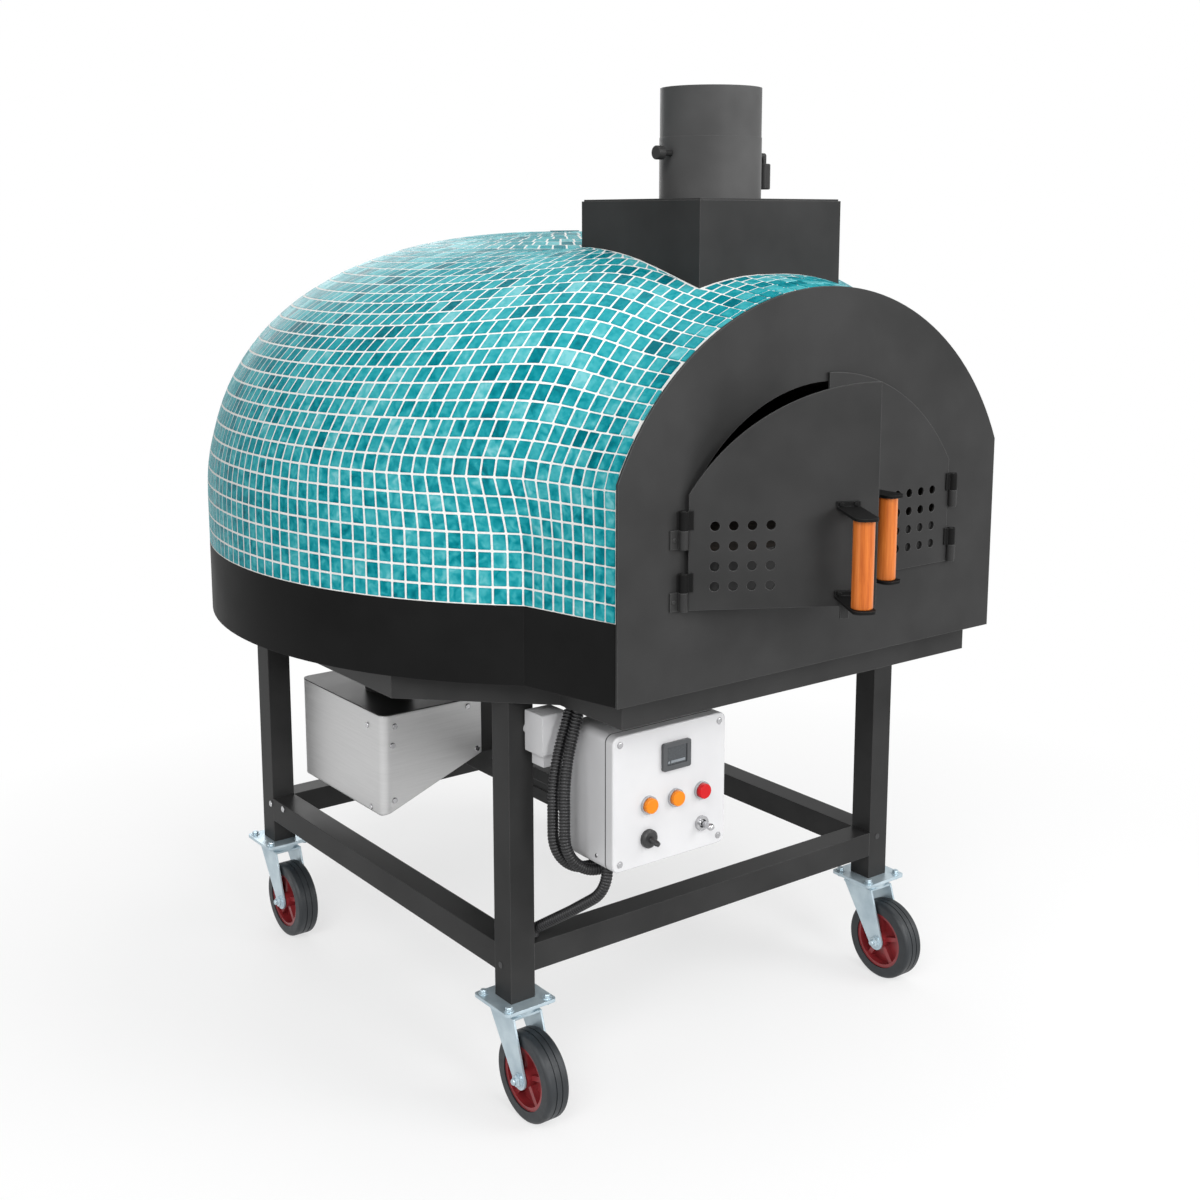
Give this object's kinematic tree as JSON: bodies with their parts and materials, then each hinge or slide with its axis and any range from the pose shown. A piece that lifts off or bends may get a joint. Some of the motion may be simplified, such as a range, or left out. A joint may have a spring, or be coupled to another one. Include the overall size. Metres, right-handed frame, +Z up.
{
  "type": "mobile pizza oven",
  "caption": "Domed mosaic-tiled pizza oven with arched neck, double steel doors, flue with damper and gas burner, on a square-tube stand with swivel casters.",
  "frame": {"origin": "on the floor, under the middle of the overall box (left door ajar as pictured)", "axes": "+Z up; -Y is the front with the doors, so +X is on the right of someone facing the mouth"},
  "size_m": [1.4419, 1.6922, 1.775],
  "materials": {
    "black_steel": "satin",
    "mosaic": "glossy",
    "wool": "matt",
    "floor_insulation": "matt",
    "firebrick": "matt",
    "zinc": "satin",
    "red_hub": "semi-gloss",
    "grey_tyre": "matt",
    "cast_aluminium": "satin",
    "stainless": "brushed",
    "black_plastic": "matt",
    "bright_metal": "polished",
    "amber_lens": "glossy",
    "red_lens": "glossy",
    "orange_wood": "varnished",
    "conduit_black": "satin"
  },
  "bodies": {
    "oven": {"leg_fl": "black_steel", "leg_fr": "black_steel", "leg_rl": "black_steel", "leg_rr": "black_steel", "rail_front": "black_steel", "rail_rear": "black_steel", "rail_left": "black_steel", "rail_right": "black_steel", "base_tray": "black_steel", "base_pan": "black_steel", "skirt_band": "black_steel", "front_plate": "black_steel", "hood": "black_steel", "flue_collar": "black_steel", "burner_duct": "black_steel", "cable_channel": "black_steel", "hinge_leaves": "black_steel", "tiled_shell": "mosaic", "dome_insulation": "wool", "hearth_insulation": "floor_insulation", "hearth_stones": "firebrick", "inner_dome": "firebrick", "entry_arch": "firebrick", "caster_plates": "zinc", "control_box": "cast_aluminium", "control_lid": "cast_aluminium", "junction_box": "cast_aluminium", "burner_housing": "stainless", "controller": "black_plastic", "button_bezels": "bright_metal", "conduit_a": "conduit_black", "conduit_b": "conduit_black", "conduit_c": "conduit_black"},
    "left_door": {"left_door": "black_steel", "left_hinges": "black_steel", "left_brackets": "black_steel", "left_grip": "orange_wood"},
    "right_door": {"right_door": "black_steel", "right_hinges": "black_steel", "right_brackets": "black_steel", "right_grip": "orange_wood"},
    "damper": {"damper_plate": "black_steel", "damper_spindle": "black_steel"},
    "amber_push_a": {"amber_button_a": "amber_lens"},
    "amber_push_b": {"amber_button_b": "amber_lens"},
    "red_push": {"red_button": "red_lens"},
    "selector_knob": {"selector": "black_plastic"},
    "toggle_lever": {"toggle": "bright_metal"},
    "caster_fl": {"fork_fl": "zinc"},
    "wheel_fl": {"hub_fl": "red_hub", "tyre_fl": "grey_tyre"},
    "caster_fr": {"fork_fr": "zinc"},
    "wheel_fr": {"hub_fr": "red_hub", "tyre_fr": "grey_tyre"},
    "caster_rl": {"fork_rl": "zinc"},
    "wheel_rl": {"hub_rl": "red_hub", "tyre_rl": "grey_tyre"},
    "caster_rr": {"fork_rr": "zinc"},
    "wheel_rr": {"hub_rr": "red_hub", "tyre_rr": "grey_tyre"}
  },
  "joints": [
    {"name": "left_door_swing", "type": "hinge", "parent": "oven", "child": "left_door", "pos_m": [-0.3165, -0.61335, 1.02], "axis": [0, 0, -1], "range_deg": [-30, 100]},
    {"name": "right_door_swing", "type": "hinge", "parent": "oven", "child": "right_door", "pos_m": [0.3165, -0.61335, 1.02], "axis": [0, 0, 1], "range_deg": [0, 130]},
    {"name": "damper_turn", "type": "hinge", "parent": "oven", "child": "damper", "pos_m": [0, -0.30284, 1.662], "axis": [1, 0, 0], "range_deg": [0, 90]},
    {"name": "swivel_fl", "type": "hinge", "parent": "oven", "child": "caster_fl", "pos_m": [-0.445, -0.31884, 0.19], "axis": [0, 0, 1], "continuous": true},
    {"name": "roll_fl", "type": "hinge", "parent": "caster_fl", "child": "wheel_fl", "pos_m": [-0.445, -0.37284, 0.08], "axis": [1, 0, 0], "continuous": true},
    {"name": "swivel_fr", "type": "hinge", "parent": "oven", "child": "caster_fr", "pos_m": [0.445, -0.31884, 0.19], "axis": [0, 0, 1], "continuous": true},
    {"name": "roll_fr", "type": "hinge", "parent": "caster_fr", "child": "wheel_fr", "pos_m": [0.445, -0.37284, 0.08], "axis": [1, 0, 0], "continuous": true},
    {"name": "swivel_rl", "type": "hinge", "parent": "oven", "child": "caster_rl", "pos_m": [-0.445, 0.60515, 0.19], "axis": [0, 0, 1], "continuous": true},
    {"name": "roll_rl", "type": "hinge", "parent": "caster_rl", "child": "wheel_rl", "pos_m": [-0.445, 0.55115, 0.08], "axis": [1, 0, 0], "continuous": true},
    {"name": "swivel_rr", "type": "hinge", "parent": "oven", "child": "caster_rr", "pos_m": [0.445, 0.60515, 0.19], "axis": [0, 0, 1], "continuous": true},
    {"name": "roll_rr", "type": "hinge", "parent": "caster_rr", "child": "wheel_rr", "pos_m": [0.445, 0.55115, 0.08], "axis": [1, 0, 0], "continuous": true},
    {"name": "amber_push_a_press", "type": "slide", "parent": "oven", "child": "amber_push_a", "axis": [0, 1, 0], "range_m": [0, 0.004], "stiffness_N_per_m": 500, "springref_m": -0.004},
    {"name": "amber_push_b_press", "type": "slide", "parent": "oven", "child": "amber_push_b", "axis": [0, 1, 0], "range_m": [0, 0.004], "stiffness_N_per_m": 500, "springref_m": -0.004},
    {"name": "red_push_press", "type": "slide", "parent": "oven", "child": "red_push", "axis": [0, 1, 0], "range_m": [0, 0.004], "stiffness_N_per_m": 500, "springref_m": -0.004},
    {"name": "selector_turn", "type": "hinge", "parent": "oven", "child": "selector_knob", "pos_m": [-0.313, -0.52385, 0.531], "axis": [0, 1, 0], "range_deg": [-45, 45]},
    {"name": "toggle_tilt", "type": "hinge", "parent": "oven", "child": "toggle_lever", "pos_m": [-0.197, -0.52385, 0.531], "axis": [1, 0, 0], "range_deg": [-15, 15]}
  ]
}
